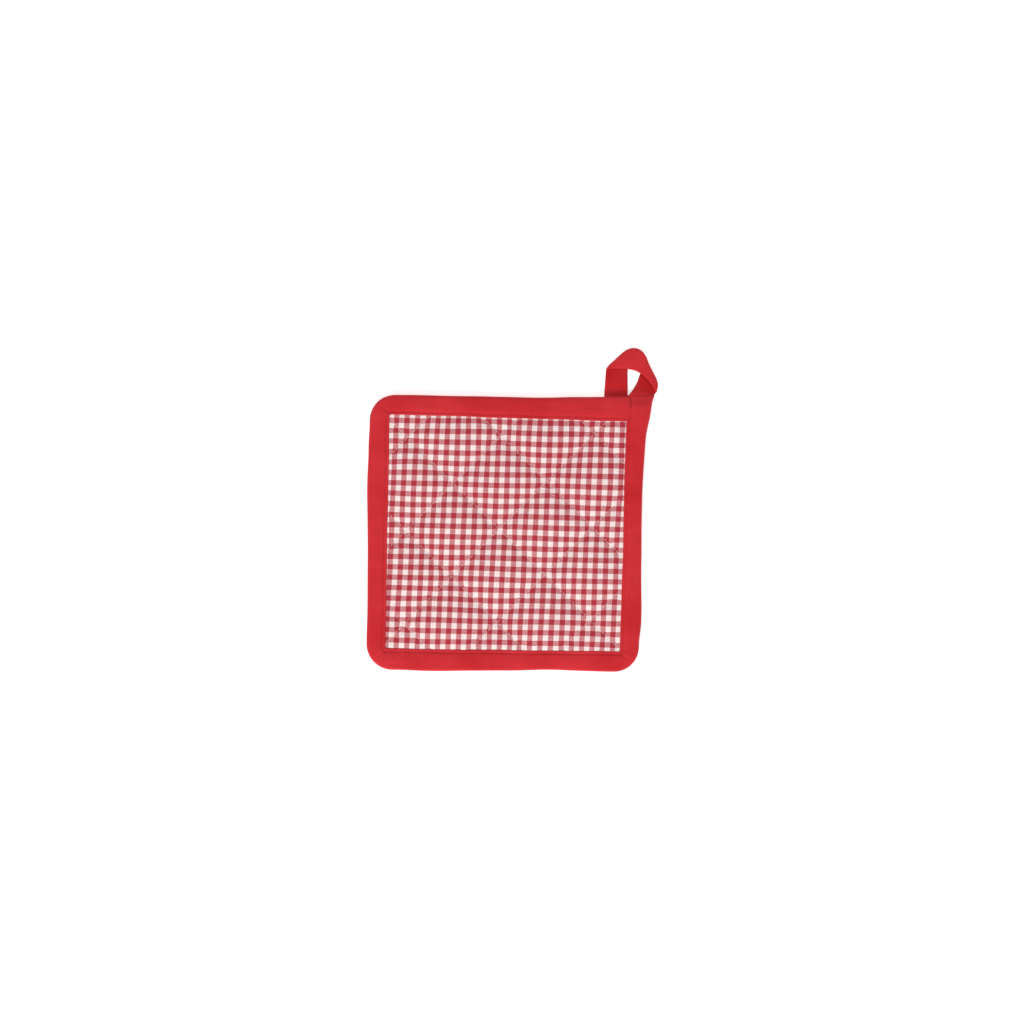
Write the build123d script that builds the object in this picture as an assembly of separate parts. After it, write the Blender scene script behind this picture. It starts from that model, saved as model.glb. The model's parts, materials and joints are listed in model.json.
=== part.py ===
from build123d import *
import math
import os

# A square quilted pot holder lying flat, front face up, with a hanging loop at its top right corner.
# Millimetres. +X is right and +Y is towards the loop, seen from the front; +Z is out of the front face.
# The origin is the centre of the pad's underside.

# Driving dimensions: thicknesses and heights
CLOTH_THICKNESS = 0.5
BINDING_LEAF = 0.8
PAD_THICKNESS = 7.4
EDGE_THICKNESS = 5.4
MIDDLE_Z = PAD_THICKNESS / 2
EDGE_BOTTOM = MIDDLE_Z - EDGE_THICKNESS / 2
EDGE_TOP = MIDDLE_Z + EDGE_THICKNESS / 2

# Outline of the bound pad: three rounded corners, and a square one where the loop leaves
TOP_LEFT = (-98.6, 100.4)
TOP_MIDDLE = (20.0, 98.6)
TOP_RIGHT = (107.3, 98.8)
FLARE_START = (100.3, 25.0)
BOTTOM_RIGHT = (98.6, -100.8)
BOTTOM_MIDDLE = (20.0, -99.2)
BOTTOM_LEFT = (-100.6, -100.0)
CORNER_RADII = {TOP_LEFT: 18.5, BOTTOM_LEFT: 21.0, BOTTOM_RIGHT: 20.0}

# The checked field inside the binding, and the sloping shoulder round its padding
FIELD_CORNERS = [(-86.6, -83.8), (83.5, -85.6), (88.3, 81.6), (-82.8, 86.3)]
SHOULDER_WIDTH = 6.0
SHOULDER_RISE = (PAD_THICKNESS - EDGE_THICKNESS) / 2 + BINDING_LEAF

# Quilting: two sets of straight lines at 45 degrees, each with a pitch and a distance from the origin
QUILT_SETS = [
    {"turn": -45.0, "pitch": 49.0, "offset": -0.7},
    {"turn": 45.0, "pitch": 47.0, "offset": 5.0},
]
QUILT_LINES = range(-2, 3)
QUILT_LINE_LENGTH = 300.0

# Sewing threads, laid in grooves so that they lie flush
THREAD_WIDTH = 0.6
THREAD_DEPTH = 0.3
BINDING_SEAM_OFFSET = 1.6

# The pad folds about an axis along Y, so every layer has a narrow gap there
FOLD_GAP = 0.3
HALF_REACH = 400.0

# Loop: the end of the binding tape, with two flat folds, sewn on behind the top edge
TAPE_THICKNESS = 1.0
LAYER_GAP = 0.2
BAND_BOTTOM_Z = TAPE_THICKNESS + LAYER_GAP
BAND_TOP_Z = BAND_BOTTOM_Z + TAPE_THICKNESS
ROOT_END_Y = 101.5
LOOP_START_Y = 102.8
LEFT_LEG_X = (72.9, 89.2)
LEFT_LEG_TOP_Y = 121.0
TAIL_BOTTOM_Y = 85.5
TACK_ROWS_Y = (87.5, 96.5)
TACK_SEAM_MARGIN = 1.5
FRONT_TACK = {"centre": (96.6, 84.3), "length": 15.0}
LEFT_FOLD = [(73.6, 119.8), (89.6, 134.1)]
APEX = [(94.4, 134.9), (99.6, 132.2)]
RIGHT_FOLD = [(103.2, 127.4), (110.9, 109.6)]
RIGHT_FOLD_END = (110.3, 104.0)
BAND_LOWER_EDGE = [(108.6, 104.4), (104.2, 110.4), (98.8, 116.6), (89.2, 119.6)]
FOLD_EDGE_WIDTH = 1.2
RIGHT_LEG_INNER = [(91.6, LOOP_START_Y), (97.5, 113.8), (101.0, 122.0)]
RIGHT_LEG_OUTER = [(104.0, 123.8), (109.9, 109.8), (109.6, LOOP_START_Y)]
RIGHT_ROOT = [(90.2, 97.6), (106.4, 97.6), (109.0, ROOT_END_Y), (90.8, ROOT_END_Y)]


def flat_face(points):
    """A flat face inside a closed run of straight edges."""
    return make_face(Polyline(*points, close=True))


def slab(face, bottom, top):
    """A face in plan, made into a plate between two heights."""
    return Pos(0, 0, bottom) * extrude(face, amount=top - bottom, dir=(0, 0, 1))


def pad_outline():
    """The bound pad in plan, with its three rounded corners."""
    top = ThreePointArc(TOP_LEFT, TOP_MIDDLE, TOP_RIGHT)
    right = Line(BOTTOM_RIGHT, FLARE_START)
    flare = TangentArc(FLARE_START, TOP_RIGHT, tangent=right % 1)
    bottom = ThreePointArc(BOTTOM_LEFT, BOTTOM_MIDDLE, BOTTOM_RIGHT)
    left = Line(BOTTOM_LEFT, TOP_LEFT)
    face = make_face([top, flare, right, bottom, left])
    for corner, radius in CORNER_RADII.items():
        nearest = face.vertices().sort_by_distance(Vector(*corner))[0]
        face = fillet(nearest, radius)
    return face


def field(grow=0.0):
    """The checked field in plan, grown or shrunk by a distance with its corners kept square."""
    face = flat_face(FIELD_CORNERS)
    return offset(face, amount=grow, kind=Kind.INTERSECTION) if grow else face


OUTLINE = pad_outline()
LAYER_OUTLINE = offset(OUTLINE, amount=-BINDING_LEAF)


def half_mound(edge_height):
    """Half of the stack, from its middle plane up: thin under the binding, then a shoulder to the field."""
    taper = math.degrees(math.atan(SHOULDER_WIDTH / SHOULDER_RISE))
    rim = slab(LAYER_OUTLINE, 0, edge_height)
    crown = Pos(0, 0, edge_height) * extrude(field(), amount=SHOULDER_RISE, taper=taper)
    return rim + crown


def to_front(shape):
    """Stand a half that is built on the middle plane on the pad's front side."""
    return Pos(0, 0, MIDDLE_Z) * shape


def to_back(shape):
    """Stand a half that is built on the middle plane on the pad's back side, mirrored."""
    return Pos(0, 0, MIDDLE_Z) * mirror(shape, about=Plane.XY)


def quilting_lines(bottom, top):
    """The quilting threads: a lattice of diamonds across the flat of the field."""
    flat = slab(field(-SHOULDER_WIDTH), bottom, top)
    bars = []
    for quilt_set in QUILT_SETS:
        for step in QUILT_LINES:
            across = quilt_set["offset"] + step * quilt_set["pitch"]
            bar = Box(QUILT_LINE_LENGTH, THREAD_WIDTH, top - bottom)
            place = Rot(0, 0, quilt_set["turn"]) * Pos(0, across, (bottom + top) / 2)
            bars.append(place * bar & flat)
    return Part() + bars


def binding_seam(bottom, top):
    """The seam that closes the binding: one thread all round the field."""
    outside = slab(field(BINDING_SEAM_OFFSET + THREAD_WIDTH), bottom, top)
    return outside - slab(field(BINDING_SEAM_OFFSET), bottom, top)


def row_of_thread(centre, length, bottom, top):
    """A straight row of stitches along X."""
    return Pos(*centre, (bottom + top) / 2) * Box(length, THREAD_WIDTH, top - bottom)


def loop_tail():
    """The end of the loop's tape, sewn to the back of the pad behind its top edge."""
    left, right = LEFT_LEG_X
    corners = [(left, TAIL_BOTTOM_Y), (right, TAIL_BOTTOM_Y), (right, ROOT_END_Y), (left, ROOT_END_Y)]
    return slab(flat_face(corners), 0, TAPE_THICKNESS)


def tack_threads():
    """The rows that hold the loop: two across its tail on the back, one across the corner on the front."""
    left, right = LEFT_LEG_X
    length = right - left - 2 * TACK_SEAM_MARGIN
    rows = [row_of_thread(((left + right) / 2, y), length, 0, THREAD_DEPTH) for y in TACK_ROWS_Y]
    front = row_of_thread(FRONT_TACK["centre"], FRONT_TACK["length"], EDGE_TOP - THREAD_DEPTH, EDGE_TOP)
    return Part() + rows + [front]


def hanging_loop():
    """The loop: two legs behind, one band in front, and a closed fold edge at each side."""
    left, right = LEFT_LEG_X
    left_leg = [(left, LOOP_START_Y), (right, LOOP_START_Y), (right, LEFT_LEG_TOP_Y), (left + 2, LEFT_LEG_TOP_Y)]
    right_leg = RIGHT_LEG_INNER + RIGHT_LEG_OUTER
    band_edges = [
        Polyline(*BAND_LOWER_EDGE, LEFT_FOLD[0], LEFT_FOLD[1]),
        Spline(LEFT_FOLD[1], *APEX, RIGHT_FOLD[0]),
        Polyline(*RIGHT_FOLD, RIGHT_FOLD_END, BAND_LOWER_EDGE[0]),
    ]
    legs = slab(flat_face(left_leg), 0, TAPE_THICKNESS) + slab(flat_face(right_leg), 0, TAPE_THICKNESS)
    band = slab(make_face(band_edges), BAND_BOTTOM_Z, BAND_TOP_Z)
    folds = [fold_edge(*LEFT_FOLD), fold_edge(*RIGHT_FOLD)]
    return legs + band + folds


def fold_edge(start, end):
    """A flat fold's closed edge: a narrow wall on the loop's side of the crease, through both layers."""
    crease = Vector(*end) - Vector(*start)
    inward = crease.normalized().rotate(Axis.Z, -90) * FOLD_EDGE_WIDTH
    corners = [Vector(*start), Vector(*end), Vector(*end) + inward, Vector(*start) + inward]
    return slab(flat_face(corners), 0, BAND_TOP_Z)


def one_side(shape, sign):
    """The part of a shape on one side of the pad's fold."""
    reach = Pos(sign * (HALF_REACH + FOLD_GAP) / 2, 0, 0) * Box(HALF_REACH, HALF_REACH, HALF_REACH)
    return shape & reach


def pad_layers():
    """Every layer and thread that runs right across the pad, before it is divided at the fold."""
    cloth_edge = EDGE_THICKNESS / 2 - BINDING_LEAF
    wadding = half_mound(cloth_edge - CLOTH_THICKNESS)
    cloth = half_mound(cloth_edge) - wadding
    quilting_top = quilting_lines(PAD_THICKNESS - THREAD_DEPTH, PAD_THICKNESS)
    quilting_bobbin = quilting_lines(0, THREAD_DEPTH)
    seam_top = binding_seam(EDGE_TOP - THREAD_DEPTH, EDGE_TOP)
    seam_bobbin = binding_seam(EDGE_BOTTOM, EDGE_BOTTOM + THREAD_DEPTH)
    stack = slab(LAYER_OUTLINE, EDGE_BOTTOM + BINDING_LEAF, EDGE_TOP - BINDING_LEAF)
    binding = slab(OUTLINE, EDGE_BOTTOM, EDGE_TOP) - slab(field(), EDGE_BOTTOM, EDGE_TOP) - stack
    return {
        "front_panel": to_front(cloth) - quilting_top,
        "upper_wadding": to_front(wadding),
        "lower_wadding": to_back(wadding),
        "back_panel": to_back(cloth) - quilting_bobbin,
        "edge_binding": binding - seam_top - seam_bobbin,
        "quilting_top_thread": quilting_top,
        "quilting_bobbin_thread": quilting_bobbin,
        "binding_top_thread": seam_top,
        "binding_bobbin_thread": seam_bobbin,
    }


def all_nodes():
    """Every node by name: the pad's layers in their two halves, then the loop."""
    nodes = {}
    for name, shape in pad_layers().items():
        nodes[name + "_left"] = one_side(shape, -1)
        nodes[name + "_right"] = one_side(shape, 1)
    tack = tack_threads()
    root = slab(flat_face(RIGHT_ROOT), EDGE_BOTTOM, EDGE_BOTTOM + TAPE_THICKNESS)
    covered = slab(OUTLINE, EDGE_BOTTOM, EDGE_TOP)
    nodes["edge_binding_right"] = nodes["edge_binding_right"] + (root - covered) - tack
    nodes["loop_tail"] = loop_tail() - tack
    nodes["loop_tack_thread"] = tack
    nodes["hanging_loop"] = hanging_loop()
    return nodes


os.makedirs("parts", exist_ok=True)
for node, shape in all_nodes().items():
    export_step(shape, "parts/" + node + ".step")
    print(node, "solids", len(shape.solids()), "volume", round(shape.volume, 1))
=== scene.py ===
"""Looks of a square quilted pot holder: gingham faces, diamond quilting, red binding and a tape loop.

Lengths are millimetres until a mesh is made; MM turns them into metres.
"""

import json
import math

import bpy
import numpy as np
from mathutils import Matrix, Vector
from mathutils.bvhtree import BVHTree

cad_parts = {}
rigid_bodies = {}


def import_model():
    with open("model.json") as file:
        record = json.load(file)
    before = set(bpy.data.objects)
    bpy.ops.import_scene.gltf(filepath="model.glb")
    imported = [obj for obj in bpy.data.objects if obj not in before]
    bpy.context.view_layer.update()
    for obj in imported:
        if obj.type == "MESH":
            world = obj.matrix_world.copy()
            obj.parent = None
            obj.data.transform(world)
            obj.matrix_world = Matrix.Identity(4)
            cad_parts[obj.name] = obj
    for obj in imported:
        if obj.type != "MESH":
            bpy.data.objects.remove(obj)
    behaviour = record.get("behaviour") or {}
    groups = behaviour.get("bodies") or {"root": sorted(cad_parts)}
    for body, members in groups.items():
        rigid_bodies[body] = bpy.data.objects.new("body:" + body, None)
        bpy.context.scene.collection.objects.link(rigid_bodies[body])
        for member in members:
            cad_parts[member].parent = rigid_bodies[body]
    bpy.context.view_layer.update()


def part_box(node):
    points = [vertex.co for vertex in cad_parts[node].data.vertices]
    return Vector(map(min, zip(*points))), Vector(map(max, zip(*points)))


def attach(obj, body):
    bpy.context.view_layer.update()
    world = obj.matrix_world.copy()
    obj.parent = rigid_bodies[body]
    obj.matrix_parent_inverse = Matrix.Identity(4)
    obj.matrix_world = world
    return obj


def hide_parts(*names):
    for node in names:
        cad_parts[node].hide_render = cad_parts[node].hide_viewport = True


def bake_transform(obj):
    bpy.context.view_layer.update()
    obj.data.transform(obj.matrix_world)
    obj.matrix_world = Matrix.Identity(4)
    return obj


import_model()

MM = 0.001
ROOT2 = math.sqrt(2.0)


def frame_height(node, corner):
    """The lowest (0) or highest (1) z of a CAD node, in millimetres."""
    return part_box(node)[corner].z / MM


# Heights that the CAD sets
FRONT_CREST = frame_height("front_panel_left", 1)
EDGE_TOP = frame_height("edge_binding_left", 1)
EDGE_BOTTOM = frame_height("edge_binding_left", 0)
MIDDLE = FRONT_CREST / 2

# The bound pad in plan; the corners are rounded in the order top left, bottom left, bottom right
TOP_LEFT = (-98.6, 100.4)
TOP_RIGHT = (107.3, 98.8)
BOTTOM_RIGHT = (98.6, -100.8)
BOTTOM_LEFT = (-100.6, -100.0)
FLARE_START_Y = 25.0
FLARE_X = (100.3, 107.3)
RIGHT_SIDE_AIM_X = 102.0
CORNER_RADII = [18.5, 19.0, 18.5]
INNER_RADIUS = 1.6

# How far each side stands out of its straight line: share of its length, then millimetres
SIDE_BOWS = {
    "top, leftwards": [(0.0, 0.6), (0.2, 0.0), (0.42, -0.7), (0.65, 0.0), (1.0, 0.4)],
    "left, downwards": [(0.0, -0.5), (0.12, 0.2), (0.32, 0.9), (0.6, 0.0), (0.75, -0.2), (1.0, 0.1)],
    "bottom, rightwards": [(0.0, -0.5), (0.2, 0.5), (0.35, -0.1), (0.5, -0.2), (0.71, -0.9), (1.0, 0.35)],
    "right, upwards": [(0.0, -1.0), (0.1, 0.4), (0.34, -0.1), (0.55, -0.25), (0.72, 0.5), (0.84, 0.2),
                       (0.92, 1.1), (0.975, 0.9), (1.0, 1.6)],
}

# The checked field inside the binding, anticlockwise from its bottom left corner
FIELD = np.array([(-87.2, -84.4), (84.0, -86.6), (88.3, 81.6), (-84.0, 86.8)])

# Quilting lattice at 45 degrees: "sum" lines fall to the right, "difference" lines rise
SUM_PITCH = 49.0
SUM_OFFSET = -0.7
DIFFERENCE_PITCH = 47.0
DIFFERENCE_OFFSET = 5.0
CELLS_PER_DIAMOND = 28

# Cloth and padding
CLOTH_THICKNESS = 0.5
CLOTH_UNDER_BINDING = 7.0
FRONT_LINE_Z = MIDDLE + 1.15
FRONT_EDGE_Z = EDGE_TOP - 1.1
SHOULDER = 9.0
PUCKER_HEIGHT = 0.17
PUCKER_REACH = 2.6
SPARE_CLOTH = 0.025
PUFF_PRESSURE = 5.0
SOLVER_SCALE = 20.0
SOLVER_FRAMES = 36
LOWEST_CLOTH_Z = 0.02
WADDING_CELLS = 8
WADDING_CLEARANCE = 0.12
THINNEST_WADDING = 0.3
WADDING_SPLIT = 0.05

# The gingham: the repeat of one dark and one pale check, its start, and the lean of its yarns
CHECK_START = (-1.95, 2.45)
REPEAT_ACROSS = 7.48
REPEAT_UP = 7.63
WARP_LEAN = math.radians(2.7)
WEFT_LEAN = math.radians(1.2)
YARNS_PER_REPEAT = 22


# ---------------- small helpers

def smooth_step(t):
    """0 below 0, 1 above 1, and a smooth rise between."""
    t = np.clip(t, 0.0, 1.0)
    return t * t * (3.0 - 2.0 * t)


def smooth_run(keys, t):
    """A smooth curve through (place, value) keys, read at t."""
    places, values = np.array(keys).T
    slot = np.clip(np.searchsorted(places, t, side="right") - 1, 0, len(places) - 2)
    share = smooth_step((t - places[slot]) / (places[slot + 1] - places[slot]))
    return values[slot] + (values[slot + 1] - values[slot]) * share


def bell(x, width):
    """A bump of height 1 at 0 that dies away over a few widths."""
    return np.exp(-(np.asarray(x) / width) ** 2)


def mesh_object(name, points, faces, uv=None):
    """A mesh from points in millimetres, with an optional cloth UV map in millimetres."""
    mesh = bpy.data.meshes.new(name)
    mesh.from_pydata((np.asarray(points) * MM).tolist(), [], [tuple(int(i) for i in f) for f in faces])
    if uv is not None:
        layer = mesh.uv_layers.new(name="cloth")
        corners = np.empty(len(mesh.loops), np.int32)
        mesh.loops.foreach_get("vertex_index", corners)
        layer.data.foreach_set("uv", np.asarray(uv, np.float32)[corners].ravel())
    mesh.update()
    piece = bpy.data.objects.new(name, mesh)
    bpy.context.scene.collection.objects.link(piece)
    mesh.polygons.foreach_set("use_smooth", np.ones(len(mesh.polygons), bool))
    return piece


def apply_modifiers(piece):
    """Replace a piece's mesh by what its modifiers make of it."""
    evaluated = piece.evaluated_get(bpy.context.evaluated_depsgraph_get())
    final = bpy.data.meshes.new_from_object(evaluated)
    piece.modifiers.clear()
    piece.data = final


def surface_tree(piece):
    """A search tree over a piece's mesh, in millimetres."""
    points = [v.co / MM for v in piece.data.vertices]
    return BVHTree.FromPolygons(points, [tuple(p.vertices) for p in piece.data.polygons])


def surface_height(tree, x, y, side):
    """Height of a surface at a place in plan, met from the front (side 1) or the back (side -1)."""
    hit = tree.ray_cast(Vector((x, y, 40.0 * side)), Vector((0.0, 0.0, -side)))
    return hit[0].z if hit[0] is not None else None


# ---------------- the quilted faces

def field_inset(x, y):
    """Distance from a point to the nearest side of the checked field, positive inside."""
    inset = np.full(np.shape(x), 1e9)
    for start, end in zip(FIELD, np.roll(FIELD, -1, axis=0)):
        along = (end - start) / np.linalg.norm(end - start)
        inset = np.minimum(inset, along[0] * (y - start[1]) - along[1] * (x - start[0]))
    return inset


def quilt_grid(margin, cells):
    """A grid that follows the quilting lines.

    Returns its places in plan, its quads, and which of its points lie on a line."""
    count = 3 * cells
    steps = np.arange(-count, count + 1)
    u, w = np.meshgrid(SUM_OFFSET + steps * SUM_PITCH / cells,
                       DIFFERENCE_OFFSET + steps * DIFFERENCE_PITCH / cells, indexing="ij")
    on_line = ((steps % cells == 0)[:, None]) | ((steps % cells == 0)[None, :])
    x, y = (u - w) / ROOT2, (u + w) / ROOT2
    keep = field_inset(x, y) > -margin
    index = np.arange(keep.size).reshape(keep.shape)
    whole = keep[:-1, :-1] & keep[1:, :-1] & keep[1:, 1:] & keep[:-1, 1:]
    quads = np.stack([index[:-1, :-1], index[1:, :-1], index[1:, 1:], index[:-1, 1:]], axis=-1)[whole]
    used, compact = np.unique(quads, return_inverse=True)
    quads = compact.reshape(-1, 4)
    places = np.stack([x.ravel()[used], y.ravel()[used]], axis=1)
    return snap_rim(places, quads, margin), quads, on_line.ravel()[used]


def snap_rim(places, quads, margin):
    """Move the ragged rim of a diagonal grid out to a straight cut edge."""
    corners = np.bincount(quads.ravel(), minlength=len(places))
    rim = np.where(corners < 4)[0]
    step = 0.01
    x, y = places[rim, 0], places[rim, 1]
    inset = field_inset(x, y)
    slope_x = (field_inset(x + step, y) - inset) / step
    slope_y = (field_inset(x, y + step) - inset) / step
    move = -margin - inset
    places[rim] += np.stack([slope_x * move, slope_y * move], axis=1)
    return places


def drift(places, phase):
    """How far the cloth has crept sideways: slowly all over, and where the needle pulled."""
    x, y = places[:, 0], places[:, 1]
    across = (0.20 * np.sin(x / 17.0 + y / 23.0 + phase)
              + 0.16 * np.sin(x / 9.5 - y / 12.0 + 2.1 * phase))
    up = (0.20 * np.sin(x / 21.0 - y / 15.0 + 1.7 * phase)
          + 0.16 * np.sin(x / 11.0 + y / 8.7 + 0.6 * phase))
    for apart, along in line_distances(places):
        pulled = 0.6 * bell(apart, 3.0) * np.sin(along / 2.9 + 1.9 * np.sin(along / 8.3 + phase))
        across = across + pulled * 0.7
        up = up + pulled * 0.7 * np.sign(np.sin(along / 37.0 + phase))
    return np.stack([across, up], axis=1)


def line_distances(places):
    """For each of the two sets of quilting lines: distance to the nearest line, and place along it."""
    u = (places[:, 0] + places[:, 1]) / ROOT2 - SUM_OFFSET
    w = (places[:, 1] - places[:, 0]) / ROOT2 - DIFFERENCE_OFFSET
    apart_u = (u + SUM_PITCH / 2) % SUM_PITCH - SUM_PITCH / 2
    apart_w = (w + DIFFERENCE_PITCH / 2) % DIFFERENCE_PITCH - DIFFERENCE_PITCH / 2
    return [(apart_u, w), (apart_w, u)]


def puckers(places, phase):
    """Small gathers along the quilting lines, where the thread draws the cloth up."""
    height = np.zeros(len(places))
    for apart, along in line_distances(places):
        fine = np.sin(along / 0.86 + 1.4 * np.sin(along / 5.1 + phase))
        coarse = 0.6 * np.sin(along / 1.7 + 2.0 * phase)
        height += PUCKER_HEIGHT * (fine + coarse) * bell(apart, PUCKER_REACH)
    return height * smooth_step(field_inset(places[:, 0], places[:, 1]) / 3.0)


def line_height(places):
    """Height of the sewn-down cloth over the pad's middle plane, from the quilting to the binding."""
    inset = field_inset(places[:, 0], places[:, 1])
    sewn = FRONT_LINE_Z - MIDDLE
    edge = FRONT_EDGE_Z - MIDDLE
    return edge + (sewn - edge) * smooth_step(inset / SHOULDER)


def simulate_puff(places, quads, pinned, base):
    """Blow the cloth up off its sewn lines with Blender's cloth solver. Returns the new points.

    The cloth is run larger than life, which suits the solver, and is a little larger than its frame."""
    points = np.column_stack([places, base]) * SOLVER_SCALE
    sheet = mesh_object("puffing", points, quads)
    group = sheet.vertex_groups.new(name="sewn")
    group.add([int(i) for i in np.where(pinned)[0]], 1.0, "REPLACE")
    cloth = sheet.modifiers.new("cloth", "CLOTH")
    settings = cloth.settings
    settings.quality = 6
    settings.mass = 0.3
    settings.tension_stiffness = 20.0
    settings.compression_stiffness = 20.0
    settings.shear_stiffness = 8.0
    settings.bending_stiffness = 1.5
    settings.air_damping = 4.0
    settings.use_pressure = True
    settings.uniform_pressure_force = PUFF_PRESSURE
    settings.shrink_min = -SPARE_CLOTH
    settings.vertex_group_mass = "sewn"
    settings.pin_stiffness = 1.0
    settings.effector_weights.gravity = 0.0
    cloth.collision_settings.use_collision = False
    cloth.point_cache.frame_start = 1
    cloth.point_cache.frame_end = SOLVER_FRAMES
    for number in range(1, SOLVER_FRAMES + 1):
        bpy.context.scene.frame_set(number)
    settled = sheet.evaluated_get(bpy.context.evaluated_depsgraph_get()).data
    moved = np.array([v.co for v in settled.vertices]) / MM / SOLVER_SCALE
    bpy.data.objects.remove(sheet)
    bpy.context.scene.frame_set(1)
    return moved


def puffed_face(side, crest, phase):
    """The quilted cloth on one side: its points, its quads and its flat places."""
    places, quads, on_line = quilt_grid(CLOTH_UNDER_BINDING, CELLS_PER_DIAMOND)
    laid = places + drift(places, phase)
    base = line_height(places)
    pinned = on_line | (field_inset(places[:, 0], places[:, 1]) < 0.3)
    points = simulate_puff(laid, quads, pinned, base)
    rise = points[:, 2] - base
    rise *= crest / np.percentile(rise, 98.5)
    height = base + np.clip(rise, -0.6, crest * 1.12) + puckers(places, phase)
    points[:, 2] = np.maximum(MIDDLE + side * height, LOWEST_CLOTH_Z)
    return points, quads, places


def gingham_coordinates(places):
    """Flat cloth coordinates, leaning as the cloth was laid."""
    across = places[:, 0] - places[:, 1] * math.tan(WARP_LEAN) - CHECK_START[0]
    up = places[:, 1] + places[:, 0] * math.tan(WEFT_LEAN) - CHECK_START[1]
    return np.stack([across, up], axis=1)


def cloth_face(name, side, points, quads, places):
    """One face of the pad as finished cloth, with its thickness towards the wadding."""
    turned = quads if side > 0 else quads[:, ::-1]
    piece = mesh_object(name, points, turned, gingham_coordinates(places))
    piece.modifiers.new("smooth", "SUBSURF").levels = 1
    thick = piece.modifiers.new("thick", "SOLIDIFY")
    thick.thickness = CLOTH_THICKNESS * MM
    thick.offset = -1.0
    apply_modifiers(piece)
    return piece


def rim_edges(quads):
    """The edges that only one quad uses, each in that quad's direction."""
    pairs = {(a, b) for quad in quads.tolist() for a, b in zip(quad, quad[1:] + quad[:1])}
    return sorted((a, b) for a, b in pairs if (b, a) not in pairs)


def wadding_layer(name, side, face_tree):
    """A soft layer from the pad's middle plane up to the inside of one face."""
    places, quads, _ = quilt_grid(CLOTH_UNDER_BINDING - 1.0, WADDING_CELLS)
    count = len(places)
    gap = CLOTH_THICKNESS + WADDING_CLEARANCE
    at_edge = MIDDLE + side * (FRONT_EDGE_Z - MIDDLE)
    outside = []
    for x, y in places:
        height = surface_height(face_tree, x, y, side)
        outside.append((at_edge if height is None else height) - side * gap)
    outside = np.array(outside)
    outside = MIDDLE + side * np.maximum(side * (outside - MIDDLE), THINNEST_WADDING)
    top = np.column_stack([places, outside])
    middle = np.column_stack([places, np.full(count, MIDDLE + side * WADDING_SPLIT)])
    rim = rim_edges(quads)
    walls = [(b, a, a + count, b + count) for a, b in rim]
    faces = [*quads.tolist(), *(quads[:, ::-1] + count).tolist(), *walls]
    if side < 0:
        faces = [tuple(reversed(f)) for f in faces]
    return mesh_object(name, np.vstack([top, middle]), faces)


# ---------------- tape: a closed skin round a middle surface

def catmull(keys, steps):
    """A smooth run through key rows, with so many steps between each pair."""
    padded = np.vstack([2 * keys[0] - keys[1], keys, 2 * keys[-1] - keys[-2]])
    rows = []
    for a, b, c, d in zip(padded, padded[1:], padded[2:], padded[3:]):
        for t in np.arange(steps) / steps:
            rows.append(0.5 * (2 * b + (c - a) * t + (2 * a - 5 * b + 4 * c - d) * t ** 2
                               + (3 * b - a - 3 * c + d) * t ** 3))
    rows.append(keys[-1])
    return np.array(rows)


def surface_normals(grid):
    """Unit normals of a grid of points (stations, across, 3)."""
    along = np.gradient(grid, axis=0)
    across = np.gradient(grid, axis=1)
    normal = np.cross(along, across)
    return normal / np.maximum(np.linalg.norm(normal, axis=2, keepdims=True), 1e-9)


def tape_skin(name, grid, along, across, wear_and_painted_shade, half_thickness):
    """Give a middle surface its thickness, with rounded hems and closed ends.

    along, across and wear_and_painted_shade each have one value for each point of the grid: cloth
    coordinates in millimetres, and a value from 0 to 1 that holds the tape's wear and, on the loop's legs,
    painted shade and painted light; half_thickness is one number or one for each station."""
    normal = surface_normals(grid) * np.asarray(half_thickness)[..., None]
    hem_first = unit_rows(grid[:, 0] - grid[:, 1]) * half_thickness
    hem_last = unit_rows(grid[:, -1] - grid[:, -2]) * half_thickness
    upper = grid + normal
    lower = grid - normal
    rings = [grid[:, :1] + hem_first[:, None], upper, grid[:, -1:] + hem_last[:, None], lower[:, ::-1]]
    skin = np.concatenate(rings, axis=1)
    u = np.concatenate([along[:, :1], along, along[:, -1:], along[:, ::-1]], axis=1)
    v = np.concatenate([across[:, :1] - half_thickness, across,
                        across[:, -1:] + half_thickness, across[:, ::-1]], axis=1)
    stations, width = skin.shape[:2]
    index = np.arange(stations * width).reshape(stations, width)
    after = np.roll(index, -1, axis=1)
    quads = np.stack([index[:-1], index[1:], after[1:], after[:-1]], axis=-1).reshape(-1, 4)
    caps = [tuple(index[0]), tuple(index[-1][::-1])]
    uv = np.stack([v, u], axis=-1).reshape(-1, 2)
    piece = mesh_object(name, skin.reshape(-1, 3), [*quads.tolist(), *caps], uv)
    wear_with_painted_shade = np.concatenate([wear_and_painted_shade[:, :1], wear_and_painted_shade, wear_and_painted_shade[:, -1:], wear_and_painted_shade[:, ::-1]], axis=1)
    attribute = piece.data.attributes.new("wear_and_painted_shade", "FLOAT", "POINT")
    attribute.data.foreach_set("value", wear_with_painted_shade.astype(np.float32).ravel())
    return piece


def unit_rows(rows):
    """Each row scaled to a length of 1."""
    return rows / np.maximum(np.linalg.norm(rows, axis=1, keepdims=True), 1e-9)


# ---------------- edge binding

# The folded tape: its thickness, its seam, and how many stations it has
LEAF_HALF = 0.4
SEAM_INSET = 1.9
BACK_LAP = 1.0
FOLD_DEPTH = 2.4
SIDE_STATIONS = 118
CORNER_STATIONS = 26
LEAF_SHARES = np.concatenate([np.linspace(0.0, 4.0, 9), np.linspace(5.2, 12.4, 8)]) / 12.4
FOLD_ANGLES = np.linspace(90.0, -90.0, 11)[1:-1] * math.pi / 180

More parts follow.
